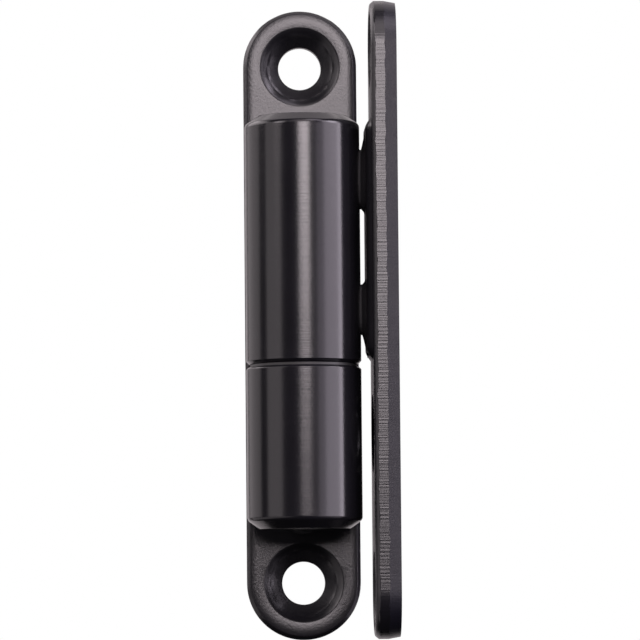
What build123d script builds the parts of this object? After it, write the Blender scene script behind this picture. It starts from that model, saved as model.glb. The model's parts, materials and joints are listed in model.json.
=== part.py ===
from build123d import *
import math
import os

# Surface-mount lift-off hinge, opened to a right angle. Millimetres.
# Origin: centre of the frame leaf's back face. +Y goes into what the frame leaf is screwed to,
# +Z goes up along the pin, and the door leaf stands on the +X side of the pin.

# Leaf plates, blanked from sheet with round ends
leaf_length = 100.0
frame_leaf_width = 18.0
door_leaf_width = 15.0
leaf_thickness = 4.0
edge_roll = 0.8  # radius that blanking rolls over the front edge
torn_depth = 1.9  # torn band of the blanked edge, measured from the back face
torn_taper = 0.28  # how far the torn band draws in at the back face

# Screw holes: one at the centre of each round end and one beside the other leaf's barrel
screw_hole_d = 6.8
countersink_d = 12.3
countersink_angle = 90.0
countersink_lip = 0.2  # rounding of the countersink's rim
middle_hole_offset = 18.0  # from the leaf's mid-height, away from the leaf's own barrel

# Barrels
barrel_d = 18.0
leaf_gap = 1.7  # from the barrel to the leaf's front face
door_barrel_length = 38.9
frame_barrel_length = 25.2
seam_drop = 7.1  # lower end of the door barrel, below the leaf's mid-height
door_top_run = 2.0  # shoulder at the door barrel's top: how far it goes in
door_top_drop = 1.35  # and how far it goes down
door_seam_chamfer = 0.5
frame_seam_chamfer = 0.3
frame_bottom_run = 1.9  # shoulder at the frame barrel's bottom: how far it goes in
frame_bottom_rise = 1.45  # and how far it goes up
shoulder_round = 0.9  # rounding where a shoulder meets the barrel's wall
corner_round = 0.2  # rounding where a slope meets an end face
seam_round = 0.1  # rounding at the two small chamfers of the seam

# Raised land on each leaf, under its barrel
land_height = 0.9
land_width = 12.0
land_corner = 2.5
land_slope = 60.0  # degrees that the land's pressed sides lean in from square
land_round = 1.0  # rounding over the land's top edge
land_inset = 0.5  # from each end of the barrel

# Weld nuggets between the land and the barrel, placed from the ends of the barrel
weld_width = 6.0
weld_flare = 18.0  # degrees that a nugget spreads towards the land
door_weld_lengths = (9.3, 7.9)
door_weld_insets = (9.85, 8.55)
frame_weld_lengths = (6.6, 6.2)
frame_weld_insets = (6.6, 6.4)

# Pin, bush and washer
pin_d = 10.0
pin_seat = 20.0  # length pressed into the frame barrel
pin_reach = 27.0  # length that stands above the frame barrel
pin_lead = 1.2  # chamfer on the pin's upper end
pin_foot_chamfer = 0.6
bush_wall = 1.0
bush_length = 24.0
bush_setback = 0.4  # from the door barrel's lower end
running_clearance = 0.05  # radial, bush on pin
bore_end_room = 1.2  # from the pin's upper end to the end of the blind bore
bore_mouth_chamfer = 0.4
washer_d = 16.7
washer_thickness = 0.5
washer_clearance = 0.1  # radial, washer on pin

# Places along the pin, from the leaf's mid-height
barrel_r = barrel_d / 2
leaf_face = barrel_r + leaf_gap
land_face = leaf_face - land_height
pin_to_back = leaf_face + leaf_thickness
door_low = -seam_drop
door_high = door_low + door_barrel_length
frame_high = door_low - washer_thickness
frame_low = frame_high - frame_barrel_length
pin_r = pin_d / 2
bush_bore_r = pin_r + running_clearance
bush_r = bush_bore_r + bush_wall


def towards_barrel(distance, height=0.0):
    """Plane parallel to the leaf at a distance from the pin, facing the pin, with its Y axis up."""
    return Plane(origin=(0, distance, height), x_dir=(1, 0, 0), z_dir=(0, -1, 0))


def turned(points, rounds):
    """Solid turned about the pin from (radius, height) points; rounds maps a point's index to its radius."""
    profile = make_face(Polyline(*points, close=True))
    for index, radius in rounds.items():
        corner = profile.vertices().sort_by_distance(Vector(*points[index], 0))[0]
        profile = fillet(corner, radius)
    return revolve(Plane.XZ * profile, Axis.Z)


def screw_hole_cutter(height):
    """Countersunk through hole along Y, opening with a rounded lip on the leaf's front face."""
    hole_r = screw_hole_d / 2
    sink_r = countersink_d / 2
    wall_lean = math.radians(countersink_angle / 2)
    sink_depth = (sink_r - hole_r) / math.tan(wall_lean)
    lip_run = countersink_lip * math.tan((math.pi / 2 - wall_lean) / 2)
    lip_start = (sink_r + lip_run, leaf_face)
    lip_end = (sink_r - lip_run * math.sin(wall_lean), leaf_face + lip_run * math.cos(wall_lean))
    lip = TangentArc(lip_start, lip_end, tangent=(-1, 0))
    walls = Polyline(
        lip_end,
        (hole_r, leaf_face + sink_depth),
        (hole_r, pin_to_back),
        (0, pin_to_back),
        (0, leaf_face),
        lip_start,
    )
    return Pos(0, 0, height) * revolve(make_face([lip, walls]), Axis.Y)


def leaf_plate(width, barrel_low, barrel_high, middle_hole_height):
    """Leaf on the +Y side of the pin: obround plate, three countersunk holes and the raised land."""
    end_hole_height = (leaf_length - width) / 2
    outline = SlotOverall(leaf_length, width, rotation=90)
    plate = extrude(towards_barrel(leaf_face) * outline, -leaf_thickness)
    plate = fillet(plate.faces().sort_by(Axis.Y)[0].edges(), edge_roll)
    back = plate.faces().sort_by(Axis.Y)[-1]
    plate = chamfer(back.edges(), torn_taper, torn_depth, reference=back)
    for height in (end_hole_height, middle_hole_height, -end_hole_height):
        plate -= screw_hole_cutter(height)
    land_length = barrel_high - barrel_low - 2 * land_inset
    land_plane = towards_barrel(leaf_face, (barrel_low + barrel_high) / 2)
    land_foot = land_plane * RectangleRounded(land_width, land_length, land_corner)
    land = extrude(land_foot, land_height, taper=land_slope)
    land = fillet(land.faces().sort_by(Axis.Y)[0].edges(), land_round)
    return plate + land


def weld_nugget(height, length):
    """Weld metal between the land and the barrel, spread at its foot and fused to the barrel's curve."""
    depth = land_face - math.sqrt(barrel_r**2 - (weld_width / 2) ** 2)
    foot = towards_barrel(land_face, height) * SlotOverall(length, weld_width, rotation=90)
    lump = extrude(foot, depth, taper=weld_flare)
    return lump - Pos(0, 0, height) * Cylinder(barrel_r, 2 * length)


def door_barrel():
    """Upper barrel, closed at the top, with a blind bore for the bush and the pin."""
    bore_end = door_low + pin_reach + bore_end_room - washer_thickness
    points = [
        (0, bore_end),
        (bush_r, bore_end),
        (bush_r, door_low + bore_mouth_chamfer),
        (bush_r + bore_mouth_chamfer, door_low),
        (barrel_r - door_seam_chamfer, door_low),
        (barrel_r, door_low + door_seam_chamfer),
        (barrel_r, door_high - door_top_drop),
        (barrel_r - door_top_run, door_high),
        (0, door_high),
    ]
    return turned(points, {4: seam_round, 5: seam_round, 6: shoulder_round, 7: corner_round})


def frame_barrel():
    """Lower barrel, closed at the bottom, with the seat that the pin is pressed into."""
    points = [
        (0, frame_low),
        (barrel_r - frame_bottom_run, frame_low),
        (barrel_r, frame_low + frame_bottom_rise),
        (barrel_r, frame_high - frame_seam_chamfer),
        (barrel_r - frame_seam_chamfer, frame_high),
        (pin_r, frame_high),
        (pin_r, frame_high - pin_seat),
        (0, frame_high - pin_seat),
    ]
    return turned(points, {1: corner_round, 2: shoulder_round, 3: seam_round, 4: seam_round})


def hinge_pin():
    """Pin from the bottom of its seat to its tapered upper end."""
    foot = frame_high - pin_seat
    top = frame_high + pin_reach
    points = [
        (0, foot),
        (pin_r - pin_foot_chamfer, foot),
        (pin_r, foot + pin_foot_chamfer),
        (pin_r, top - pin_lead),
        (pin_r - pin_lead, top),
        (0, top),
    ]
    return turned(points, {3: corner_round, 4: corner_round})


def ring(inner_r, outer_r, low, high):
    """Plain sleeve or washer about the pin."""
    return turned([(inner_r, low), (outer_r, low), (outer_r, high), (inner_r, high)], {})


def leaf_welds(barrel_low, barrel_high, lengths, insets):
    """Upper and lower weld nugget of one leaf."""
    heights = (barrel_high - insets[0], barrel_low + insets[1])
    return [weld_nugget(height, length) for height, length in zip(heights, lengths)]


# Frame side and door side are built about the pin, on its +Y side, and then set in place
frame_place = Pos(0, -pin_to_back, 0)
door_place = frame_place * Rot(0, 0, -90)
frame_welds = leaf_welds(frame_low, frame_high, frame_weld_lengths, frame_weld_insets)
door_welds = leaf_welds(door_low, door_high, door_weld_lengths, door_weld_insets)
bush_low = door_low + bush_setback

nodes = {
    "frame_leaf": frame_place * leaf_plate(frame_leaf_width, frame_low, frame_high, middle_hole_offset),
    "frame_barrel": frame_place * frame_barrel(),
    "frame_weld_upper": frame_place * frame_welds[0],
    "frame_weld_lower": frame_place * frame_welds[1],
    "hinge_pin": frame_place * hinge_pin(),
    "thrust_washer": frame_place * ring(pin_r + washer_clearance, washer_d / 2, frame_high, door_low),
    "door_leaf": door_place * leaf_plate(door_leaf_width, door_low, door_high, -middle_hole_offset),
    "door_barrel": door_place * door_barrel(),
    "door_weld_upper": door_place * door_welds[0],
    "door_weld_lower": door_place * door_welds[1],
    "door_bush": door_place * ring(bush_bore_r, bush_r, bush_low, bush_low + bush_length),
}

os.makedirs("parts", exist_ok=True)
for name, solid in nodes.items():
    export_step(solid, f"parts/{name}.step")
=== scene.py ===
# %% [markdown]
# A surface-mount door hinge, dressed for its portrait
#
# The real hinge is two flat steel leaves, each welded to one half of a turned barrel, with a pin inside.
# Nearly all that shows wears one satin black coat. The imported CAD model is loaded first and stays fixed: it
# gives the places and main sizes, and the pieces made here are built around it, in the same frame, in metres.

# %% Load the frame
import json
import math
from functools import partial

import bmesh
import bpy
from mathutils import Matrix, Vector


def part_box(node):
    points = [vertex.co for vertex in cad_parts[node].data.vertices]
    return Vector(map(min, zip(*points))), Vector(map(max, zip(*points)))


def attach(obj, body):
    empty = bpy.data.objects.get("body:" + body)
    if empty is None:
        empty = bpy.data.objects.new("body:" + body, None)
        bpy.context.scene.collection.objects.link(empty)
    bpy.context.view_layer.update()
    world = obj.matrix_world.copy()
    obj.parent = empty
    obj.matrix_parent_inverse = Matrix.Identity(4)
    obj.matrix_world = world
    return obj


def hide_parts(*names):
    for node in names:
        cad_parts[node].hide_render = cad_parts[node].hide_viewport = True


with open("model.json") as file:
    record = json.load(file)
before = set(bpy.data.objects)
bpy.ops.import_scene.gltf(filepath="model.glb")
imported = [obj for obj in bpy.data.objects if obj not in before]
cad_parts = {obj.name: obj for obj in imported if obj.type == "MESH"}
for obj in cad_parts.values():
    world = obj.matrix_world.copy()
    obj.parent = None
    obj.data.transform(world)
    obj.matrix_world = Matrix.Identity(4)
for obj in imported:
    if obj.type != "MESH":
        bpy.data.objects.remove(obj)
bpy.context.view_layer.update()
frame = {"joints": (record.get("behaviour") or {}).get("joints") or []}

mm = 0.001

# %% [markdown]
# Sizes come first. A box of a CAD node says how long, wide and high a piece is, and the swing joint says
# where the pin stands, so nothing below is measured twice. Only what a box can't tell, such as how thick
# the sheet is under its raised land, is written down as a number.

# %% Read the main sizes from the frame
joints = {joint["name"]: joint for joint in frame["joints"]}
pin_foot = Vector(joints["swing"]["pos_m"])
frame_leaf_low, frame_leaf_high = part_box("frame_leaf")
door_leaf_low, door_leaf_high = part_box("door_leaf")
door_barrel_low, door_barrel_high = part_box("door_barrel")
frame_barrel_low, frame_barrel_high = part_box("frame_barrel")
leaf_length = frame_leaf_high.z - frame_leaf_low.z
frame_leaf_width = frame_leaf_high.x - frame_leaf_low.x
door_leaf_width = door_leaf_high.y - door_leaf_low.y
leaf_thickness = 4.0 * mm
leaf_back = frame_leaf_high.y
land_height = leaf_back - frame_leaf_low.y - leaf_thickness
pin_to_back = leaf_back - pin_foot.y
barrel_radius = (door_barrel_high.x - door_barrel_low.x) / 2
print("leaves", round(leaf_length / mm, 2), "mm long, barrels", round(2 * barrel_radius / mm, 2), "mm thick")

# %% [markdown]
# Every tree in this lesson, for shapes and for finishes, is written with the same few helpers. One adds a
# node and feeds it, one opens a new tree with named sockets, and two more do sums and join coordinates.
# Trees could be clicked together by hand, but written out they can be read, changed and made again.

# %% Helpers for node trees
def add_node(tree, kind, inputs=None, **options):
    """Adds a node, sets its options, and feeds its inputs with values or with other nodes' outputs."""
    node = tree.nodes.new(kind)
    for option, value in options.items():
        setattr(node, option, value)
    for name, value in (inputs or {}).items():
        socket = node.inputs[name]
        if isinstance(value, bpy.types.NodeSocket):
            tree.links.new(value, socket)
        else:
            socket.default_value = value
    return node


def new_tree(name, kind, inputs, outputs):
    """Opens a node tree with named sockets, and returns it with the outputs of its Group Input node."""
    tree = bpy.data.node_groups.new(name, kind)
    for in_out, sockets in (("INPUT", inputs), ("OUTPUT", outputs)):
        for label, socket_type in sockets.items():
            tree.interface.new_socket(label, in_out=in_out, socket_type=socket_type)
    return tree, add_node(tree, "NodeGroupInput").outputs


def calc(tree, operation, *values):
    """One Math node, as a value to feed on."""
    return add_node(tree, "ShaderNodeMath", dict(enumerate(values)), operation=operation).outputs[0]


def point(tree, x=0.0, y=0.0, z=0.0):
    """Three values joined into one vector."""
    return add_node(tree, "ShaderNodeCombineXYZ", {"X": x, "Y": y, "Z": z}).outputs[0]


# %% [markdown]
# Every finish on the hinge varies a little over its surface: a fine grain that catches the light, and broad
# patches that are greyer or glossier than their neighbours. That could be painted as an image, but a noise
# needs no unwrapping and holds up close. It is made once, as a shader group whose inputs set the two tones,
# the sizes of grain and patch, and how far the gloss wanders.

# %% Shader group: a skin with grain and patches
def skin_group():
    tree, given = new_tree(
        "skin",
        "ShaderNodeTree",
        {
            "Place": "NodeSocketVector",
            "Dark": "NodeSocketColor",
            "Light": "NodeSocketColor",
            "Grain": "NodeSocketFloat",
            "Patch": "NodeSocketFloat",
            "Roughness": "NodeSocketFloat",
            "Roughness Spread": "NodeSocketFloat",
        },
        {"Color": "NodeSocketColor", "Roughness": "NodeSocketFloat", "Height": "NodeSocketFloat"},
    )
    node = partial(add_node, tree)
    sum_of = partial(calc, tree)
    grain_scale = sum_of("DIVIDE", 1.0, given["Grain"])
    patch_scale = sum_of("DIVIDE", 1.0, given["Patch"])
    grain = node("ShaderNodeTexNoise", {"Vector": given["Place"], "Scale": grain_scale, "Detail": 2.0})
    patch = node("ShaderNodeTexNoise", {"Vector": given["Place"], "Scale": patch_scale, "Detail": 4.0})
    tone = node(
        "ShaderNodeMix",
        {0: patch.outputs[0], 6: given["Dark"], 7: given["Light"]},
        data_type="RGBA",
    )
    lean = sum_of("SUBTRACT", patch.outputs[0], 0.5)
    roughness = sum_of("MULTIPLY_ADD", lean, given["Roughness Spread"], given["Roughness"])
    node("NodeGroupOutput", {"Color": tone.outputs[2], "Roughness": roughness, "Height": grain.outputs[0]})
    return tree


skin = skin_group()
print("shader group", skin.name, "with", len(skin.nodes), "nodes")

# %% [markdown]
# Tools leave marks that run one way. A lathe cuts fine rings round a barrel, which draw every highlight out
# along it, and a press draws the sheared edge of a plate into short lines across its thickness. Both are the
# same thing, a noise that is drawn out more one way than another, so one more group serves them. It takes the
# size of a mark along each axis, and a detail that says how much finer marks lie among the large ones.

# %% Shader group: marks that run one way
def marks_group():
    tree, given = new_tree(
        "tool_marks",
        "ShaderNodeTree",
        {"Place": "NodeSocketVector", "Mark Size": "NodeSocketVector", "Detail": "NodeSocketFloat"},
        {"Height": "NodeSocketFloat"},
    )
    node = partial(add_node, tree)
    counted = node("ShaderNodeVectorMath", {0: given["Place"], 1: given["Mark Size"]}, operation="DIVIDE")
    drawn = {"Vector": counted.outputs[0], "Scale": 1.0, "Detail": given["Detail"]}
    marks = node("ShaderNodeTexNoise", drawn)
    node("NodeGroupOutput", {"Height": marks.outputs[0]})
    return tree


tool_marks = marks_group()
print("shader group", tool_marks.name, "with", len(tool_marks.nodes), "nodes")

# %% [markdown]
# A finish is a Principled shader that these two groups feed: the skin sets colour, roughness and the small
# bumps of the coat, and tool marks, where there are any, add a second bump over the first. What is the same
# all over, such as being a metal or not, is set on the shader itself.

# %% Helper: a material from the two groups
def add_finish(name, tones, grain, patch, peel, roughness, spread, marks=None, metallic=0.0):
    """Skin of two tones with small bumps, and marks given as (attribute, size, detail, depth)."""
    material = bpy.data.materials.new(name)
    material.use_nodes = True
    tree = material.node_tree
    node = partial(add_node, tree)
    shader = tree.nodes["Principled BSDF"]
    shader.inputs["Metallic"].default_value = metallic
    object_place = node("ShaderNodeTexCoord").outputs["Object"]
    dark, light = ((*tone, 1.0) for tone in tones)
    settings = {
        "Place": object_place,
        "Dark": dark,
        "Light": light,
        "Grain": grain,
        "Patch": patch,
        "Roughness": roughness,
        "Roughness Spread": spread,
    }
    covered = node("ShaderNodeGroup", settings, node_tree=skin)
    normal = node("ShaderNodeBump", {"Height": covered.outputs["Height"], "Distance": peel}).outputs[0]
    if marks:
        attribute, size, detail, depth = marks
        place = object_place
        if attribute:
            place = node("ShaderNodeAttribute", attribute_name=attribute).outputs["Vector"]
        lines = {"Place": place, "Mark Size": size, "Detail": detail}
        drawn = node("ShaderNodeGroup", lines, node_tree=tool_marks)
        bump = {"Height": drawn.outputs["Height"], "Distance": depth, "Normal": normal}
        normal = node("ShaderNodeBump", bump).outputs[0]
    for socket, value in (
        ("Base Color", covered.outputs["Color"]),
        ("Roughness", covered.outputs["Roughness"]),
        ("Normal", normal),
    ):
        tree.links.new(value, shader.inputs[socket])
    print("finish", material.name, "with", len(tree.nodes), "nodes")
    return material


# %% [markdown]
# Most pieces are swept: a short profile is carried along a path, as a lathe or a press would shape it, and
# Curve to Mesh does just that. These helpers draw the straight and the bowed stretches of a profile and the
# circle that many paths are. A profile's X points away from the path's inside.

# %% Helpers: profiles and paths
def line(tree, start, end):
    """Straight stretch of a profile."""
    ends = {"Start": start, "End": end}
    return add_node(tree, "GeometryNodeCurvePrimitiveLine", ends, mode="POINTS").outputs[0]


def bow(tree, start, middle, end, resolution):
    """Stretch that leaves its start towards the middle point, and reaches its end from there."""
    bends = {"Resolution": resolution, "Start": start, "Middle": middle, "End": end}
    return add_node(tree, "GeometryNodeCurveQuadraticBezier", bends).outputs[0]


def ring(tree, resolution, radius):
    """Circle about the Z axis."""
    sizes = {"Resolution": resolution, "Radius": radius}
    return add_node(tree, "GeometryNodeCurvePrimitiveCircle", sizes, mode="RADIUS").outputs[0]


def shift(tree, part, offset):
    """A part moved by a vector."""
    return add_node(tree, "GeometryNodeTransform", {0: part, "Translation": offset}).outputs[0]


# %% [markdown]
# The next helpers carry a profile along its path, and join and merge what comes out into one closed skin. The
# last one ends a tree: it smooths the faces, makes every instance real, because the export drops instances,
# and sets the finish.

# %% Helpers: swept surfaces
seam_reach = 0.002 * mm


def sweep(tree, path, profile):
    """Surface of a profile carried along a path, with its faces outwards."""
    flipped = add_node(tree, "GeometryNodeTransform", {0: profile, "Scale": (1.0, -1.0, 1.0)}).outputs[0]
    return add_node(tree, "GeometryNodeCurveToMesh", {"Curve": path, "Profile Curve": flipped}).outputs[0]


def join(tree, *parts):
    """Several parts as one."""
    joint = add_node(tree, "GeometryNodeJoinGeometry")
    for part in parts:
        tree.links.new(part, joint.inputs[0])
    return joint.outputs[0]


def merge(tree, part):
    """Closes the seams between parts that meet."""
    return add_node(tree, "GeometryNodeMergeByDistance", {0: part, "Distance": seam_reach}).outputs[0]


def finish_off(tree, part, finish):
    """Smooths a part, makes it real and gives it its finish."""
    smooth = add_node(tree, "GeometryNodeSetShadeSmooth", {0: part, "Shade Smooth": True}).outputs[0]
    real = add_node(tree, "GeometryNodeRealizeInstances", {0: smooth}).outputs[0]
    return add_node(tree, "GeometryNodeSetMaterial", {0: real, "Material": finish}).outputs[0]


# %% [markdown]
# Barrels, pin, washer and bush are turned on a lathe. They could be made with Spin or with a Screw modifier,
# but a tree keeps the corners editable: it takes them as bare points, rounds each by its own radius, and
# sweeps the line round the pin, so that one tree makes five pieces.

# %% Geometry Nodes: a turned piece
corner_steps = 6


def turned_tree():
    tree, given = new_tree(
        "turned_piece",
        "GeometryNodeTree",
        {
            "Corners": "NodeSocketGeometry",
            "Guide Radius": "NodeSocketFloat",
            "Segments": "NodeSocketInt",
            "Closed Profile": "NodeSocketBool",
            "Finish": "NodeSocketMaterial",
        },
        {"Geometry": "NodeSocketGeometry"},
    )
    node = partial(add_node, tree)
    dots = node("GeometryNodeMeshToPoints", {"Mesh": given["Corners"]}).outputs[0]
    order = node("GeometryNodeInputIndex").outputs[0]
    outline = node("GeometryNodePointsToCurves", {"Points": dots, "Weight": order}).outputs[0]
    closed = node("GeometryNodeSetSplineCyclic", {0: outline, "Cyclic": given["Closed Profile"]}).outputs[0]
    radius = node("GeometryNodeInputNamedAttribute", {"Name": "round"}, data_type="FLOAT").outputs[0]
    rounding = {"Curve": closed, "Count": corner_steps, "Radius": radius, "Limit Radius": True}
    rounded = node("GeometryNodeFilletCurve", rounding, mode="POLY").outputs[0]
    profile = shift(tree, rounded, point(tree, calc(tree, "MULTIPLY", given["Guide Radius"], -1.0)))
    path = ring(tree, given["Segments"], given["Guide Radius"])
    whole = merge(tree, sweep(tree, path, profile))
    node("NodeGroupOutput", {"Geometry": finish_off(tree, whole, given["Finish"])})
    return tree


turned = turned_tree()
print("tree", turned.name, "with", len(turned.nodes), "nodes")

# %% [markdown]
# A tree runs as a modifier, and what it makes is copied out as a plain mesh, because the modifier must be
# gone before the piece is handed over. The sizes are given by the names of the tree's inputs, and are set
# before the tree runs for the first time.

# %% Helper: run a tree
def grow(name, seed, tree, sizes):
    """Runs a tree on a seed mesh with the named sizes, and returns the plain mesh that it makes."""
    grower = bpy.data.objects.new(name + "_grower", seed)
    bpy.context.scene.collection.objects.link(grower)
    modifier = grower.modifiers.new("tree", "NODES")
    modifier.node_group = tree
    for item in tree.interface.items_tree:
        if item.in_out == "INPUT" and item.name in sizes:
            modifier[item.identifier] = sizes[item.name]
    made = bpy.data.meshes.new_from_object(grower.evaluated_get(bpy.context.evaluated_depsgraph_get()))
    bpy.data.objects.remove(grower)
    return made


# %% [markdown]
# Smooth shading alone would smear light over sharp corners, so edges that turn far are marked sharp, and the
# normals are weighted by face size. The helper that does this also puts the piece in its place and counts
# open edges. There should be none, because a piece with a hole in its skin has no inside.

# %% Helper: sharpen the creases of a piece and put it in place
crease_angle = math.radians(28)


def settle(name, mesh, place):
    """Places a mesh, creases it where it turns far, evens its normals and drops empty material slots."""
    mesh.transform(place)
    shape = bmesh.new()
    shape.from_mesh(mesh)
    for edge in shape.edges:
        if edge.calc_face_angle(0.0) > crease_angle:
            edge.smooth = False
    open_edges = sum(1 for edge in shape.edges if not edge.is_manifold)
    volume = shape.calc_volume(signed=True)
    shape.to_mesh(mesh)
    shape.free()
    piece = bpy.data.objects.new(name, mesh)
    bpy.context.scene.collection.objects.link(piece)
    weighted = piece.modifiers.new("even_normals", "WEIGHTED_NORMAL")
    weighted.keep_sharp = True
    even = bpy.data.meshes.new_from_object(piece.evaluated_get(bpy.context.evaluated_depsgraph_get()))
    piece.modifiers.clear()
    for index in reversed(range(len(even.materials))):
        if even.materials[index] is None:
            even.materials.pop(index=index)
    piece.data = even
    even.name = name
    print(name, len(even.polygons), "faces,", open_edges, "open edges,", round(volume / mm**3), "mm3")
    return piece


# %% [markdown]
# To turn a piece now takes no more than its corners. Each is a radius, a height and the round of that corner.
# The rounds ride along as an attribute of the points, which is where the tree looks for them.

# %% Helper: turn a piece
turned_segments = 144


def turn(name, corners, finish, closed=False):
    """Turns a piece about the pin from (radius, height, corner round) corners, going down its outside."""
    seed = bpy.data.meshes.new(name + "_corners")
    seed.from_pydata([(radius, height, 0) for radius, height, _ in corners], [], [])
    rounds = seed.attributes.new("round", "FLOAT", "POINT")
    rounds.data.foreach_set("value", [corner[2] for corner in corners])
    sizes = {
        "Guide Radius": barrel_radius,
        "Segments": turned_segments,
        "Closed Profile": closed,
        "Finish": finish,
    }
    mesh = grow(name, seed, turned, sizes)
    return settle(name, mesh, Matrix.Translation((pin_foot.x, pin_foot.y, 0)))


# %% [markdown]
# The barrels were turned from bar and coated black. The coat is thin, so the lathe's rings still show
# through it and pull the lights into long stripes. A stripe that fades up and down the barrel could also
# come from an anisotropic shader, but rings as a bump keep the coat's own gloss.

# %% Finish: coat on turned steel
black = ((0.0048, 0.0046, 0.0060), (0.0096, 0.0092, 0.0118))
lathe_rings = (20 * mm, 20 * mm, 0.14 * mm)
barrel_coat = add_finish(
    "barrel_coat",
    black,
    grain=0.4 * mm,
    patch=9 * mm,
    peel=0.006 * mm,
    roughness=0.19,
    spread=0.03,
    marks=(None, lathe_rings, 3.0, 0.010 * mm),
)

# %% [markdown]
# The door barrel is the longer one: closed at the top, with a low sloping shoulder, and bored from below for
# the bush. Its corners are listed from the middle of its top, down the outside and back up the bore, so that
# the swept surface closes on itself and its faces point outwards.

# %% Turn the door barrel
bush_low, bush_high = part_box("door_bush")
pin_low, pin_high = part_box("hinge_pin")
bush_radius = (bush_high.x - bush_low.x) / 2
pin_radius = (pin_high.x - pin_low.x) / 2
door_low, door_high = door_barrel_low.z, door_barrel_high.z
top_run, top_drop = 2.0 * mm, 1.35 * mm
door_seam_chamfer = 0.5 * mm
mouth_chamfer = 0.4 * mm
shoulder_round = 0.9 * mm
corner_round = 0.2 * mm
seam_round = 0.1 * mm
bore_end_room = 1.2 * mm
bore_end = pin_high.z + bore_end_room

door_barrel = turn(
    "door_barrel_turned",
    [
        (0, door_high, 0),
        (barrel_radius - top_run, door_high, corner_round),
        (barrel_radius, door_high - top_drop, shoulder_round),
        (barrel_radius, door_low + door_seam_chamfer, seam_round),
        (barrel_radius - door_seam_chamfer, door_low, seam_round),
        (bush_radius + mouth_chamfer, door_low, 0),
        (bush_radius, door_low + mouth_chamfer, 0),
        (bush_radius, bore_end, 0),
        (0, bore_end, 0),
    ],
    barrel_coat,
)

# %% [markdown]
# The frame barrel stands below it, with a sloping shoulder at its foot and a blind seat that the pin is
# pressed into. Here the list starts at the bottom of the seat, comes up over the rim and goes down outside.

# %% Turn the frame barrel
frame_low, frame_high = frame_barrel_low.z, frame_barrel_high.z
frame_seam_chamfer = 0.3 * mm
bottom_run, bottom_rise = 1.9 * mm, 1.45 * mm

frame_barrel = turn(
    "frame_barrel_turned",
    [
        (0, pin_low.z, 0),
        (pin_radius, pin_low.z, 0),
        (pin_radius, frame_high, 0),
        (barrel_radius - frame_seam_chamfer, frame_high, seam_round),
        (barrel_radius, frame_high - frame_seam_chamfer, seam_round),
        (barrel_radius, frame_low + bottom_rise, shoulder_round),
        (barrel_radius - bottom_run, frame_low, corner_round),
        (0, frame_low, 0),
    ],
    barrel_coat,
)

# %% [markdown]
# A leaf is blanked from sheet in one blow of a press. Its outline is a rectangle whose corners are rounded
# until its ends are half circles, and even steps along it keep the swept faces alike. Some bands of its
# surface take light in their own way, so their faces get a number, by which a finish is chosen at the end.

# %% Helpers: the outline of a leaf and the bands of its surface
sheared_band, torn_band, drilled_band = 1, 2, 3
round_steps = 24


def rounded_rectangle(tree, width, length, corner, step):
    """Closed outline with round corners, in even steps."""
    sheet = add_node(tree, "GeometryNodeCurvePrimitiveQuadrilateral", {"Width": width, "Height": length})
    rounding = {0: sheet.outputs[0], "Count": round_steps, "Radius": corner, "Limit Radius": True}
    soft = add_node(tree, "GeometryNodeFilletCurve", rounding, mode="POLY").outputs[0]
    return add_node(tree, "GeometryNodeResampleCurve", {0: soft, "Length": step}, mode="LENGTH").outputs[0]


def numbered(tree, part, band):
    """A part whose faces carry the number of their band."""
    stored = {0: part, "Name": "band", "Value": band}
    options = {"data_type": "INT", "domain": "FACE"}
    return add_node(tree, "GeometryNodeStoreNamedAttribute", stored, **options).outputs[0]


# %% [markdown]
# The edge of a leaf keeps the story of the blow: a soft crown that falls into a rolled corner, a burnished
# band where the punch sheared the steel, and a torn band where the rest broke away. A Bevel modifier would
# make all of them one smooth round, so each is swept along the outline by itself.

# %% Geometry Nodes: the edge of a leaf
outline_step = 0.4 * mm
crown_steps, roll_steps = 8, 12
roll_lean = 0.65


def leaf_edge(tree, given):
    """Rolled, sheared and torn band round the leaf's outline."""
    sum_of, spot = partial(calc, tree), partial(point, tree)
    half_width = sum_of("MULTIPLY", given["Width"], 0.5)
    outline = rounded_rectangle(tree, given["Width"], given["Length"], half_width, outline_step)
    shear_top = sum_of("SUBTRACT", given["Thickness"], given["Edge Roll"])
    roll_in = sum_of("MULTIPLY", given["Roll Run"], -1.0)
    crown_low = sum_of("SUBTRACT", given["Thickness"], given["Crown Drop"])
    roll_bow = sum_of("MULTIPLY", given["Edge Roll"], -roll_lean)
    crown_slope = sum_of("DIVIDE", given["Crown Drop"], sum_of("MULTIPLY", given["Crown Run"], 0.5))
    bow_drop = sum_of("MULTIPLY", sum_of("SUBTRACT", roll_bow, roll_in), crown_slope)
    crown_start = spot(sum_of("SUBTRACT", roll_in, given["Crown Run"]), given["Thickness"])
    crown_bow = spot(sum_of("MULTIPLY_ADD", given["Crown Run"], -0.5, roll_in), given["Thickness"])
    roll_start = spot(roll_in, crown_low)
    roll_middle = spot(roll_bow, sum_of("SUBTRACT", crown_low, bow_drop))
    torn_foot = spot(sum_of("MULTIPLY", given["Torn Taper"], -1.0), 0.0)
    roll = join(
        tree,
        bow(tree, crown_start, crown_bow, roll_start, crown_steps),
        bow(tree, roll_start, roll_middle, spot(0.0, shear_top), roll_steps),
    )
    shear = line(tree, spot(0.0, shear_top), spot(0.0, given["Torn Depth"]))
    tear = line(tree, spot(0.0, given["Torn Depth"]), torn_foot)
    return join(
        tree,
        sweep(tree, outline, roll),
        numbered(tree, sweep(tree, outline, shear), sheared_band),
        numbered(tree, sweep(tree, outline, tear), torn_band),
    )


# %% [markdown]
# The screw holes are drilled and countersunk, and the wall of a countersink bows softly over into its lip.
# Holes repeat, so one is swept round a circle and set on every hole centre. Cutting them with a Boolean would
# also work, but a swept wall keeps clean faces that shade well.

# %% Geometry Nodes: the countersunk holes of a leaf
hole_segments = 96
sink_steps = 12


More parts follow.
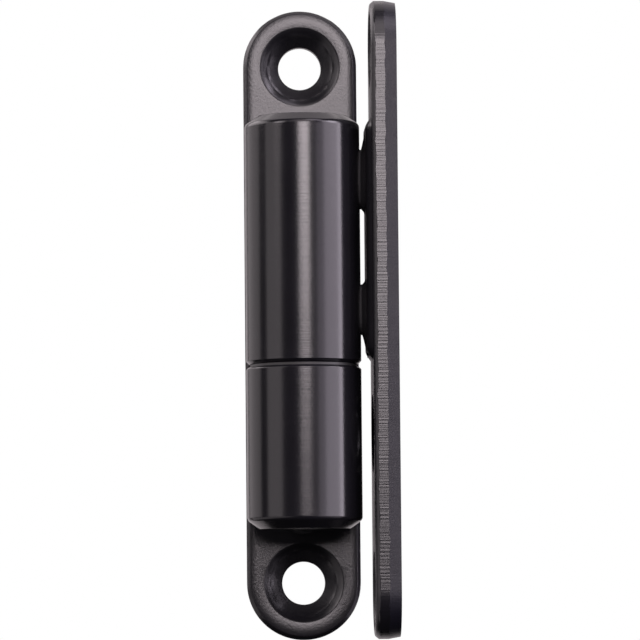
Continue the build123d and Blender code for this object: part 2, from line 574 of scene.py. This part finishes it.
def leaf_holes(tree, given):
    """Wall of a countersunk hole at each hole centre, from the back face up to the front face."""
    sum_of, spot = partial(calc, tree), partial(point, tree)
    thickness, sink_bow = given["Thickness"], given["Sink Bow"]
    sink_run = sum_of("SUBTRACT", given["Sink Radius"], given["Hole Radius"])
    sink_foot = spot(0.0, sum_of("SUBTRACT", thickness, sink_run))
    bow_start = spot(sum_of("SUBTRACT", sink_run, sink_bow), sum_of("SUBTRACT", thickness, sink_bow))
    lip_end = spot(sum_of("ADD", sink_run, given["Sink Lip"]), thickness)
    wall = join(
        tree,
        line(tree, spot(), sink_foot),
        line(tree, sink_foot, bow_start),
        bow(tree, bow_start, spot(sink_run, thickness), lip_end, sink_steps),
    )
    circle = ring(tree, hole_segments, given["Hole Radius"])
    hole = numbered(tree, sweep(tree, circle, wall), drilled_band)
    placed = {"Points": given["Hole Centres"], "Instance": hole}
    holes = add_node(tree, "GeometryNodeInstanceOnPoints", placed).outputs[0]
    return add_node(tree, "GeometryNodeRealizeInstances", {0: holes}).outputs[0]


# %% [markdown]
# Under each barrel the plate is pressed up into a low land, so that the weld has only a narrow gap to bridge.
# Its side is one bow, swept round an outline with round corners.

# %% Geometry Nodes: the land of a leaf
land_step = 0.5 * mm
land_steps = 10
land_bow = 0.75


def leaf_land(tree, given):
    """Sloping side of the land, from the leaf's front face up to the land's top."""
    sum_of, spot = partial(calc, tree), partial(point, tree)
    top = sum_of("ADD", given["Thickness"], given["Land Height"])
    run_in = sum_of("MULTIPLY", given["Land Run"], -1.0)
    outline = [given[label] for label in ("Land Width", "Land Length", "Land Corner")]
    foot = rounded_rectangle(tree, *outline, land_step)
    placed = shift(tree, foot, spot(0.0, given["Land Middle"]))
    start, middle = spot(run_in, top), spot(sum_of("MULTIPLY", run_in, land_bow), top)
    return sweep(tree, placed, bow(tree, start, middle, spot(0.0, given["Thickness"]), land_steps)), top


# %% [markdown]
# What is left are the flat faces: the front with its holes, the top of the land, and the back. Each is filled
# between the open rims that the swept walls leave at its height, so faces and walls share their points and
# the seams close exactly.

# %% Geometry Nodes: the flat faces of a leaf
level_slack = 0.005 * mm


def at_height(tree, level):
    """True for points, edges or faces that lie at one height."""
    place = add_node(tree, "GeometryNodeInputPosition").outputs[0]
    height = add_node(tree, "ShaderNodeSeparateXYZ", {0: place}).outputs["Z"]
    off = calc(tree, "ABSOLUTE", calc(tree, "SUBTRACT", height, level))
    return calc(tree, "LESS_THAN", off, level_slack)


def flat_face(tree, walls, level):
    """Face between the open rims of the walls at one height."""
    neighbours = add_node(tree, "GeometryNodeInputMeshEdgeNeighbors").outputs[0]
    rim = calc(tree, "MULTIPLY", calc(tree, "LESS_THAN", neighbours, 1.5), at_height(tree, level))
    loops = add_node(tree, "GeometryNodeMeshToCurve", {0: walls, "Selection": rim}).outputs[0]
    face = add_node(tree, "GeometryNodeFillCurve", {0: loops}, mode="TRIANGLES").outputs[0]
    return shift(tree, face, point(tree, 0.0, 0.0, level))


# %% [markdown]
# The borders of the sheared band are never straight: the roll ends and the crack starts a little earlier here
# and later there. A noise moves those two rings of points up and down. Then every point notes where it lies
# in the blank, because the press lines must follow the plate however it is turned in the finished hinge.

# %% Geometry Nodes: the ragged borders
def ragged_border(tree, given, part):
    """Creases both borders of the sheared band, moves them by a noise, and stores places in the blank."""
    place = add_node(tree, "GeometryNodeInputPosition").outputs[0]
    noise = {
        "Vector": place,
        "W": given["Seed"],
        "Scale": calc(tree, "DIVIDE", 1.0, given["Border Step"]),
        "Detail": 3.0,
    }
    ripple = add_node(tree, "ShaderNodeTexNoise", noise, noise_dimensions="4D").outputs[0]
    rise = calc(tree, "MULTIPLY", calc(tree, "SUBTRACT", ripple, 0.5), given["Border Wave"])
    shear_top = calc(tree, "SUBTRACT", given["Thickness"], given["Edge Roll"])
    borders = calc(tree, "ADD", at_height(tree, shear_top), at_height(tree, given["Torn Depth"]))
    crease = {0: part, "Selection": borders, "Shade Smooth": False}
    creased = add_node(tree, "GeometryNodeSetShadeSmooth", crease, domain="EDGE").outputs[0]
    moved = {0: creased, "Selection": borders, "Offset": point(tree, 0.0, 0.0, rise)}
    waved = add_node(tree, "GeometryNodeSetPosition", moved).outputs[0]
    stored = {0: waved, "Name": "blank", "Value": place}
    options = {"data_type": "FLOAT_VECTOR", "domain": "POINT"}
    return add_node(tree, "GeometryNodeStoreNamedAttribute", stored, **options).outputs[0]


# %% [markdown]
# All of that goes into one tree. Its sizes are inputs, so the wide frame leaf and the narrow door leaf come
# from the same tree, and the finishes are set last, band by band.

# %% Geometry Nodes: a blanked leaf
def leaf_tree():
    lengths = (
        "Length", "Width", "Thickness", "Edge Roll", "Roll Run", "Crown Run", "Crown Drop",
        "Torn Depth", "Torn Taper", "Hole Radius", "Sink Radius", "Sink Bow", "Sink Lip",
        "Land Length", "Land Width", "Land Height", "Land Corner", "Land Run", "Land Middle",
        "Border Wave", "Border Step",
    )
    inputs = {"Hole Centres": "NodeSocketGeometry", **{label: "NodeSocketFloat" for label in lengths}}
    inputs["Seed"] = "NodeSocketInt"
    for coat in ("Coat", "Sheared Coat", "Torn Coat", "Drilled Coat"):
        inputs[coat] = "NodeSocketMaterial"
    tree, given = new_tree("blanked_leaf", "GeometryNodeTree", inputs, {"Geometry": "NodeSocketGeometry"})
    node = partial(add_node, tree)
    land, land_top = leaf_land(tree, given)
    walls = merge(tree, join(tree, leaf_edge(tree, given), leaf_holes(tree, given), land))
    back = node("GeometryNodeFlipFaces", {0: flat_face(tree, walls, 0.0)}).outputs[0]
    front, plateau = flat_face(tree, walls, given["Thickness"]), flat_face(tree, walls, land_top)
    whole = merge(tree, join(tree, walls, front, plateau, back))
    leaf = finish_off(tree, ragged_border(tree, given, whole), given["Coat"])
    band = node("GeometryNodeInputNamedAttribute", {"Name": "band"}, data_type="INT").outputs[0]
    for number, coat in (
        (sheared_band, "Sheared Coat"),
        (torn_band, "Torn Coat"),
        (drilled_band, "Drilled Coat"),
    ):
        chosen = calc(tree, "COMPARE", band, float(number), 0.5)
        painted = {0: leaf, "Selection": chosen, "Material": given[coat]}
        leaf = node("GeometryNodeSetMaterial", painted).outputs[0]
    node("NodeGroupOutput", {"Geometry": leaf})
    return tree


blanked = leaf_tree()
print("tree", blanked.name, "with", len(blanked.nodes), "nodes")

# %% [markdown]
# The plate keeps the grain of rolled sheet under its coat, a fine pebble that sparkles where a highlight
# ends. The sheared band is smoother, but drawn into short lines by the press. The torn band is rougher and
# duller, a bluer black, and its lines are fainter. Where a drill has cut the grain away, the coat lies
# smooth.

# %% Finishes: coat on the plate and on its edge
press_lines = (0.3 * mm, 0.3 * mm, 25 * mm)
plate_coat = add_finish(
    "plate_coat", black, grain=0.4 * mm, patch=6 * mm, peel=0.020 * mm, roughness=0.285, spread=0.06
)
sheared_coat = add_finish(
    "sheared_coat",
    black,
    grain=0.3 * mm,
    patch=4 * mm,
    peel=0.002 * mm,
    roughness=0.28,
    spread=0.05,
    marks=("blank", press_lines, 0.8, 0.022 * mm),
)
bluish_black = ((0.0045, 0.0044, 0.0080), (0.0095, 0.0092, 0.0145))
torn_coat = add_finish(
    "torn_coat",
    bluish_black,
    grain=0.25 * mm,
    patch=4 * mm,
    peel=0.018 * mm,
    roughness=0.34,
    spread=0.06,
    marks=("blank", press_lines, 0.8, 0.012 * mm),
)
drilled_coat = add_finish(
    "drilled_coat", black, grain=0.4 * mm, patch=5 * mm, peel=0.006 * mm, roughness=0.30, spread=0.04
)

# %% [markdown]
# Most sizes are the same for both leaves. What differs is the edge: the wide frame leaf has a broad soft
# crown, and the narrow door leaf is crisper, with hardly any. Each leaf has a seed of its own, so that their
# ragged borders don't repeat.

# %% Sizes of the leaves
leaf_sizes = {
    "Length": leaf_length,
    "Thickness": leaf_thickness,
    "Torn Depth": 1.86 * mm,
    "Torn Taper": 0.34 * mm,
    "Hole Radius": 3.4 * mm,
    "Sink Radius": 5.95 * mm,
    "Sink Bow": 1.8 * mm,
    "Land Width": 12.0 * mm,
    "Land Height": land_height,
    "Land Corner": 2.5 * mm,
    "Land Run": 1.6 * mm,
    "Border Wave": 0.7 * mm,
    "Border Step": 2.0 * mm,
    "Coat": plate_coat,
    "Sheared Coat": sheared_coat,
    "Torn Coat": torn_coat,
    "Drilled Coat": drilled_coat,
}
frame_edge = {
    "Width": frame_leaf_width,
    "Edge Roll": 0.8 * mm,
    "Roll Run": 0.58 * mm,
    "Crown Run": 1.1 * mm,
    "Crown Drop": 0.1 * mm,
    "Sink Lip": 0.45 * mm,
    "Seed": 3,
}
door_edge = {
    "Width": door_leaf_width,
    "Edge Roll": 0.66 * mm,
    "Roll Run": 0.65 * mm,
    "Crown Run": 0.2 * mm,
    "Crown Drop": 0.01 * mm,
    "Sink Lip": 0.4 * mm,
    "Seed": 8,
}
print("leaves", [round(edge["Width"] / mm, 1) for edge in (frame_edge, door_edge)], "mm wide")

# %% [markdown]
# Each leaf is grown lying flat, with its back face at height zero, and is then stood up beside its barrel:
# the frame leaf behind the pin, the door leaf to its right. Every leaf has holes at the centres of its round
# ends and one more between them, clear of its own land.

# %% Blank both leaves
middle_hole = 18.0 * mm
land_inset = 0.5 * mm
up = Vector((0, 0, 1))


def leaf_place(towards_barrel, back_middle):
    """Matrix from a leaf's own axes (width, length, towards its barrel) to the frame."""
    across = up.cross(towards_barrel)
    axes = Matrix((across, up, towards_barrel)).transposed()
    return Matrix.Translation(back_middle) @ axes.to_4x4()


def blank(name, place, edge, barrel_ends, middle_hole_height):
    """Leaf with a hole at the centre of each round end, one between them, and a land under its barrel."""
    low, high = barrel_ends
    end_hole = (leaf_length - edge["Width"]) / 2
    centres = bpy.data.meshes.new(name + "_hole_centres")
    heights = (end_hole, middle_hole_height, -end_hole)
    centres.from_pydata([(0, height, 0) for height in heights], [], [])
    land = {"Land Length": high - low - 2 * land_inset, "Land Middle": (low + high) / 2}
    return settle(name, grow(name, centres, blanked, {**leaf_sizes, **edge, **land}), place)


frame_place = leaf_place(Vector((0, -1, 0)), Vector((0, leaf_back, 0)))
door_place = leaf_place(Vector((-1, 0, 0)), pin_foot + Vector((pin_to_back, 0, 0)))
frame_leaf = blank("frame_leaf_blanked", frame_place, frame_edge, (frame_low, frame_high), middle_hole)
door_leaf = blank("door_leaf_blanked", door_place, door_edge, (door_low, door_high), -middle_hole)

# %% [markdown]
# Each leaf is joined to its barrel by two short runs of weld, laid into the narrow gap between the land and
# the barrel. Weld metal wets both sides: it runs out in a thin skirt over the land, draws in to a waist, and
# clings to the curve of the barrel. A lump like that could be sculpted, but its rule is short. The first half
# of it presses a plain drum to a blunt oblong, with a skirt that fades out on the way to the barrel.

# %% Geometry Nodes: the outline of a weld nugget
skirt_fade, skirt_curve = 1.4, 1.2
bluntness = 0.7


def nugget_outline(tree, given, unit, climb):
    """Places across and along a nugget, where unit is a point of the drum and climb its share of the gap."""
    sum_of = partial(calc, tree)
    left = sum_of("MAXIMUM", sum_of("MULTIPLY_ADD", climb, -skirt_fade, 1.0), 0.0)
    thin = sum_of("POWER", left, skirt_curve)
    is_upper = sum_of("GREATER_THAN", unit["Y"], 0.0)
    longer = sum_of("SUBTRACT", given["Upper Skirt"], given["Lower Skirt"])
    end_skirt = sum_of("MULTIPLY_ADD", is_upper, longer, given["Lower Skirt"])

    def oblong(coordinate, size, skirt):
        blunt = sum_of("POWER", sum_of("ABSOLUTE", coordinate), bluntness)
        core = sum_of("MULTIPLY", sum_of("MULTIPLY", blunt, sum_of("SIGN", coordinate)), size)
        spread = sum_of("MULTIPLY", sum_of("MULTIPLY", coordinate, skirt), thin)
        return sum_of("MULTIPLY_ADD", core, 0.5, spread)

    across = oblong(unit["X"], given["Width"], given["Side Skirt"])
    along = oblong(unit["Y"], given["Length"], end_skirt)
    return across, along


# %% [markdown]
# The second half lets a noise swell the oblong, so that no two nuggets are alike, and maps the drum's height
# onto the gap between land and barrel. It reaches into both by a share of the gap, because weld metal is
# fused with what it joins.

# %% Geometry Nodes: a weld nugget
gap_overlap = 0.25


def weld_tree():
    lengths = (
        "Middle", "Length", "Width", "Upper Skirt", "Lower Skirt", "Side Skirt",
        "Land Level", "Barrel Axis", "Barrel Radius", "Ripple", "Ripple Step",
    )
    inputs = {label: "NodeSocketFloat" for label in lengths}
    inputs.update({"Seed": "NodeSocketInt", "Finish": "NodeSocketMaterial"})
    tree, given = new_tree("weld_nugget", "GeometryNodeTree", inputs, {"Geometry": "NodeSocketGeometry"})
    node = partial(add_node, tree)
    sum_of = partial(calc, tree)
    drum_sizes = {"Vertices": 96, "Side Segments": 24, "Radius": 1.0, "Depth": 1.0}
    drum = node("GeometryNodeMeshCylinder", drum_sizes, fill_type="TRIANGLE_FAN").outputs["Mesh"]
    unit = node("ShaderNodeSeparateXYZ", {0: node("GeometryNodeInputPosition").outputs[0]}).outputs
    climb = sum_of("MULTIPLY_ADD", unit["Z"], 1.0 + 2 * gap_overlap, 0.5)
    across, along = nugget_outline(tree, given, unit, climb)
    noise = {
        "Vector": point(tree, across, along, sum_of("MULTIPLY", climb, given["Ripple Step"])),
        "W": given["Seed"],
        "Scale": sum_of("DIVIDE", 1.0, given["Ripple Step"]),
        "Detail": 2.0,
    }
    ripple = node("ShaderNodeTexNoise", noise, noise_dimensions="4D").outputs[0]
    swell = sum_of("MULTIPLY_ADD", sum_of("SUBTRACT", ripple, 0.5), given["Ripple"], 1.0)
    across, along = sum_of("MULTIPLY", across, swell), sum_of("MULTIPLY", along, swell)
    radius_squared = sum_of("POWER", given["Barrel Radius"], 2.0)
    half_chord = sum_of("SQRT", sum_of("SUBTRACT", radius_squared, sum_of("POWER", across, 2.0)))
    gap = sum_of("SUBTRACT", sum_of("SUBTRACT", given["Barrel Axis"], half_chord), given["Land Level"])
    level = sum_of("MULTIPLY_ADD", climb, gap, given["Land Level"])
    laid_place = point(tree, across, sum_of("ADD", along, given["Middle"]), level)
    laid = node("GeometryNodeSetPosition", {0: drum, "Position": laid_place}).outputs[0]
    node("NodeGroupOutput", {"Geometry": finish_off(tree, laid, given["Finish"])})
    return tree


nugget = weld_tree()
print("tree", nugget.name, "with", len(nugget.nodes), "nodes")

# %% [markdown]
# Coat over weld metal stays dull, because the lump under it is scaly. The nuggets sit in the dark slot
# between leaf and barrel and show mostly as shapes against the light: long skirts towards the ends of the
# barrel, and short ones where the two runs face each other.

# %% Lay the four welds
weld_coat = add_finish(
    "weld_coat", black, grain=0.8 * mm, patch=3 * mm, peel=0.030 * mm, roughness=0.72, spread=0.08
)
outer_skirt = 2.6 * mm
inner_skirt = 0.9 * mm
weld_sizes = {
    "Width": 4.4 * mm,
    "Side Skirt": 1.2 * mm,
    "Land Level": leaf_thickness + land_height,
    "Barrel Axis": pin_to_back,
    "Barrel Radius": barrel_radius,
    "Ripple": 0.12,
    "Ripple Step": 2.2 * mm,
    "Finish": weld_coat,
}


def lay_weld(node_name, place, upper_skirt, lower_skirt, seed):
    """Weld nugget as long as the CAD one and at its height, in the axes of the leaf that it is laid on."""
    low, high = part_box(node_name)
    sizes = {"Middle": (low.z + high.z) / 2, "Length": high.z - low.z, "Seed": seed}
    skirts = {"Upper Skirt": upper_skirt, "Lower Skirt": lower_skirt}
    name = node_name + "_laid"
    seat = bpy.data.meshes.new(name + "_seat")
    return settle(name, grow(name, seat, nugget, {**weld_sizes, **sizes, **skirts}), place)


frame_weld_upper = lay_weld("frame_weld_upper", frame_place, outer_skirt, inner_skirt, 11)
frame_weld_lower = lay_weld("frame_weld_lower", frame_place, inner_skirt, outer_skirt, 12)
door_weld_upper = lay_weld("door_weld_upper", door_place, outer_skirt, inner_skirt, 13)
door_weld_lower = lay_weld("door_weld_lower", door_place, inner_skirt, outer_skirt, 14)

# %% [markdown]
# The pin is ground steel, pressed into the frame barrel and tapered at its free end so that the door barrel
# finds it. It only shows when the door is lifted off, but then it is the brightest thing on the hinge. Ground
# steel is a metal with very fine rings, so it takes the same groups with a metallic shader.

# %% Turn the pin
steel = ((0.50, 0.50, 0.51), (0.60, 0.60, 0.61))
grinding_rings = (20 * mm, 20 * mm, 0.07 * mm)
ground_steel = add_finish(
    "ground_steel",
    steel,
    grain=0.2 * mm,
    patch=5 * mm,
    peel=0.0005 * mm,
    roughness=0.26,
    spread=0.06,
    marks=(None, grinding_rings, 3.0, 0.004 * mm),
    metallic=1.0,
)
pin_lead = 1.2 * mm
pin_foot_chamfer = 0.6 * mm

hinge_pin = turn(
    "hinge_pin_turned",
    [
        (0, pin_high.z, 0),
        (pin_radius - pin_lead, pin_high.z, corner_round),
        (pin_radius, pin_high.z - pin_lead, corner_round),
        (pin_radius, pin_low.z + pin_foot_chamfer, 0),
        (pin_radius - pin_foot_chamfer, pin_low.z, 0),
        (0, pin_low.z, 0),
    ],
    ground_steel,
)

# %% [markdown]
# A black nylon washer keeps the two barrels apart, and a sleeve of natural acetal in the door barrel is what
# the pin turns in. Both are rings, so their profile is a closed loop of four corners, slightly rounded as
# moulded plastic is. The washer is a hair thinner than its gap, so that its faces turn free of the barrels.

# %% Turn the washer and the bush
nylon = ((0.016, 0.016, 0.017), (0.026, 0.026, 0.027))
black_nylon = add_finish(
    "black_nylon", nylon, grain=0.15 * mm, patch=3 * mm, peel=0.004 * mm, roughness=0.48, spread=0.08
)
acetal = ((0.66, 0.64, 0.59), (0.76, 0.74, 0.69))
natural_acetal = add_finish(
    "natural_acetal", acetal, grain=0.2 * mm, patch=4 * mm, peel=0.003 * mm, roughness=0.40, spread=0.06
)
ring_round = 0.08 * mm
bush_wall = 1.0 * mm
washer_clearance = 0.1 * mm
washer_slack = 0.01 * mm
bush_bore = bush_radius - bush_wall
washer_bore = pin_radius + washer_clearance


def turn_ring(name, node_name, bore, slack, finish):
    """Ring as wide as its CAD node, with a bore, and lower by a slack at each end."""
    low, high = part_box(node_name)
    radius = (high.x - low.x) / 2
    top, foot = high.z - slack, low.z + slack
    corners = [(bore, top), (radius, top), (radius, foot), (bore, foot)]
    return turn(name, [(*corner, ring_round) for corner in corners], finish, closed=True)


thrust_washer = turn_ring("thrust_washer_turned", "thrust_washer", washer_bore, washer_slack, black_nylon)
door_bush = turn_ring("door_bush_turned", "door_bush", bush_bore, 0.0, natural_acetal)

# %% [markdown]
# The table gives every piece the moving body it rides on, the CAD node it stands for, and the finish of the
# record it wears. Each piece is hung on its body, and its CAD node is hidden. The washer is a body of its
# own:
# it turns with the door, but stays on the pin when the door is lifted off.

# %% Hang every piece on its body and hide its CAD node
for piece, node_name, body, slot in (
    (door_barrel, "door_barrel", "door_side", "coated_barrel"),
    (door_leaf, "door_leaf", "door_side", "coated_plate"),
    (door_weld_upper, "door_weld_upper", "door_side", "coated_weld"),
    (door_weld_lower, "door_weld_lower", "door_side", "coated_weld"),
    (door_bush, "door_bush", "door_side", "bush_acetal"),
    (thrust_washer, "thrust_washer", "washer", "washer_nylon"),
    (frame_barrel, "frame_barrel", "frame_side", "coated_barrel"),
    (frame_leaf, "frame_leaf", "frame_side", "coated_plate"),
    (frame_weld_upper, "frame_weld_upper", "frame_side", "coated_weld"),
    (frame_weld_lower, "frame_weld_lower", "frame_side", "coated_weld"),
    (hinge_pin, "hinge_pin", "frame_side", "pin_steel"),
):
    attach(piece, body)
    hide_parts(node_name)
    print(piece.name, "rides on", body)

# %% [markdown]
# The hinge floats over a plain pale floor in a white studio, so that nothing distracts from it. The floor
# glows a little, to stay pale where no lamp reaches. So pale a floor would also throw light back at the hinge
# and turn black steel grey, so it is hidden from glossy and diffuse rays.

# %% Floor
scene = bpy.context.scene
floor_level = -0.16
floor_half = 3.0
floor_glow = 0.8
floor_tone = (0.86, 0.93, 0.87, 1)
white = (1, 1, 1, 1)
corner_signs = ((-1, -1), (1, -1), (1, 1), (-1, 1))
floor_corners = [(x * floor_half, y * floor_half, floor_level) for x, y in corner_signs]
floor_mesh = bpy.data.meshes.new("floor")
floor_mesh.from_pydata(floor_corners, [], [(0, 1, 2, 3)])
floor = bpy.data.objects.new("floor", floor_mesh)
scene.collection.objects.link(floor)
floor.visible_glossy = False
floor.visible_diffuse = False
floor_paint = bpy.data.materials.new("floor_paint")
floor_paint.use_nodes = True
pale = floor_paint.node_tree.nodes["Principled BSDF"].inputs
pale["Base Color"].default_value = floor_tone
pale["Emission Color"].default_value = white
pale["Emission Strength"].default_value = floor_glow
floor_mesh.materials.append(floor_paint)
print("floor", 2 * floor_half, "m wide")

# %% [markdown]
# A white room would light the hinge from all sides as well. So there are two backgrounds, a white one and a
# nearly dark one, and the Light Path node gives the white one to the camera alone. Colours are shown as they
# are, without a film look, so that white stays white.

# %% Room
room_strength = 0.01
world = bpy.data.worlds.new("studio")
scene.world = world
world.use_nodes = True
world.node_tree.nodes.clear()
in_world = partial(add_node, world.node_tree)
room = in_world("ShaderNodeBackground", {"Color": white, "Strength": room_strength}).outputs[0]
backdrop = in_world("ShaderNodeBackground", {"Color": white, "Strength": 1.0}).outputs[0]
seen = in_world("ShaderNodeLightPath").outputs["Is Camera Ray"]
mixed = in_world("ShaderNodeMixShader", {0: seen, 1: room, 2: backdrop}).outputs[0]
in_world("ShaderNodeOutputWorld", {"Surface": mixed})
scene.view_settings.view_transform = "Standard"
print("room at", room_strength, "of the backdrop")

# %% [markdown]
# Black gloss shows little of itself and much of what stands around it, so the lights draw the picture. Each
# is a softbox, placed by the stretch of azimuth and elevation that it fills as seen from the hinge. That also
# says where its stripe lies on a barrel: a wall turned by some angle mirrors what stands at twice that angle.

# %% Helper: a softbox
middle = pin_foot.copy()
light_distance = 1.2


def softbox(name, azimuths, elevations, radiance, tint):
    """Area light that fills a range of azimuths and elevations, in degrees as seen from the hinge."""
    azimuth, elevation = (math.radians(sum(span) / 2) for span in (azimuths, elevations))
    width, height = (math.radians(span[1] - span[0]) for span in (azimuths, elevations))
    level = math.cos(elevation)
    out = Vector((math.sin(azimuth) * level, -math.cos(azimuth) * level, math.sin(elevation)))
    lamp = bpy.data.lights.new(name, "AREA")
    lamp.shape = "RECTANGLE"
    lamp.size = 2 * light_distance * math.tan(width / 2) * level
    lamp.size_y = 2 * light_distance * math.tan(height / 2)
    lamp.energy = radiance * math.pi * lamp.size * lamp.size_y
    lamp.color = tint
    box = bpy.data.objects.new(name, lamp)
    box.location = middle + out * light_distance
    box.rotation_mode = "QUATERNION"
    box.rotation_quaternion = (-out).to_track_quat("-Z", "Y")
    box.visible_camera = False
    scene.collection.objects.link(box)
    print(name, round(lamp.size, 2), "x", round(lamp.size_y, 2), "m")


# %% [markdown]
# A narrow bright strip in front draws the line down the middle of the barrels and lights the flat plate. Wide
# dimmer boxes at the sides draw the broad stripes left and right of it, and what is left dark between them
# gives the barrels their contrast. The tints are slight, warm in front and violet at the right. The last four
# boxes, behind and below, hardly show in the portrait, but light the other sides of the hinge.

# %% Set up the lights
warm = (1.0, 0.90, 0.94)
violet = (1.0, 0.90, 1.03)
sandy = (1.0, 0.91, 0.94)
softbox("front_core", (-1, 9), (5, 16), 4.0, warm)
softbox("front_strip", (-9, 13.5), (4.5, 22), 10.5, warm)
softbox("front_high", (-11, 13), (22, 62), 2.2, warm)
softbox("front_right", (14, 30), (-15, 30), 0.4, warm)
softbox("front_right_high", (13, 28), (34, 70), 2.2, warm)
softbox("front_left_high", (-30, -11), (24, 70), 0.8, warm)
softbox("right_near", (28, 42), (-12, 12), 1.6, violet)
softbox("right_low", (42, 74), (-12, 12), 3.4, violet)
softbox("right_gap", (74, 84), (-12, 12), 6.5, violet)
softbox("right_wide", (42, 83), (12, 45), 4.4, violet)
softbox("right_core", (58, 76), (12, 45), 5.0, violet)
softbox("right_high", (28, 58), (45, 75), 2.6, violet)
softbox("left_near", (-60, -40), (12, 45), 4.0, sandy)
softbox("left_low", (-80, -45), (-12, 30), 1.2, sandy)
softbox("left_back", (-145, -82), (12, 45), 2.4, sandy)
softbox("left_back_low", (-145, -98), (-8, 14), 0.9, sandy)
softbox("back", (150, 210), (-45, 45), 0.7, sandy)
softbox("back_high", (105, 255), (40, 80), 0.8, sandy)
softbox("glow_left", (-140, -28), (-40, -14), 0.6, sandy)
softbox("glow_right", (28, 140), (-40, -14), 0.6, violet)

# %% [markdown]
# The camera looks at the pin from slightly below and a touch from the left, from far enough away that both
# ends of the hinge keep their size. The lens follows from the picture's scale at the pin, and the aim from
# the pixel where the middle of the pin is seen.

# %% Camera
image_side = 640
camera_distance = 0.75
camera_azimuth = math.radians(-1.5)
camera_elevation = math.radians(-4.0)
camera_roll = math.radians(-0.5)
pixels_per_metre = 6396
pin_pixel = (303.4, 319.15)
level = math.cos(camera_elevation)
towards_camera = Vector(
    (math.sin(camera_azimuth) * level, -math.cos(camera_azimuth) * level, math.sin(camera_elevation))
)
right = up.cross(towards_camera).normalized()
above = towards_camera.cross(right)
aim_right, aim_down = ((image_side / 2 - pixel) / pixels_per_metre for pixel in pin_pixel)
aim = middle + right * aim_right - above * aim_down
tilted_up = above * math.cos(camera_roll) - right * math.sin(camera_roll)
tilted_right = tilted_up.cross(towards_camera)
camera_axes = Matrix((tilted_right, tilted_up, towards_camera)).transposed().to_4x4()
lens = bpy.data.cameras.new("camera")
lens.sensor_width = 36.0
lens.lens = lens.sensor_width * pixels_per_metre * camera_distance / image_side
lens.clip_end = 20.0
lens.dof.use_dof = False
camera = bpy.data.objects.new("camera", lens)
scene.collection.objects.link(camera)
camera.matrix_world = Matrix.Translation(aim + towards_camera * camera_distance) @ camera_axes
scene.camera = camera
print("lens", round(lens.lens), "mm at", camera_distance, "m")
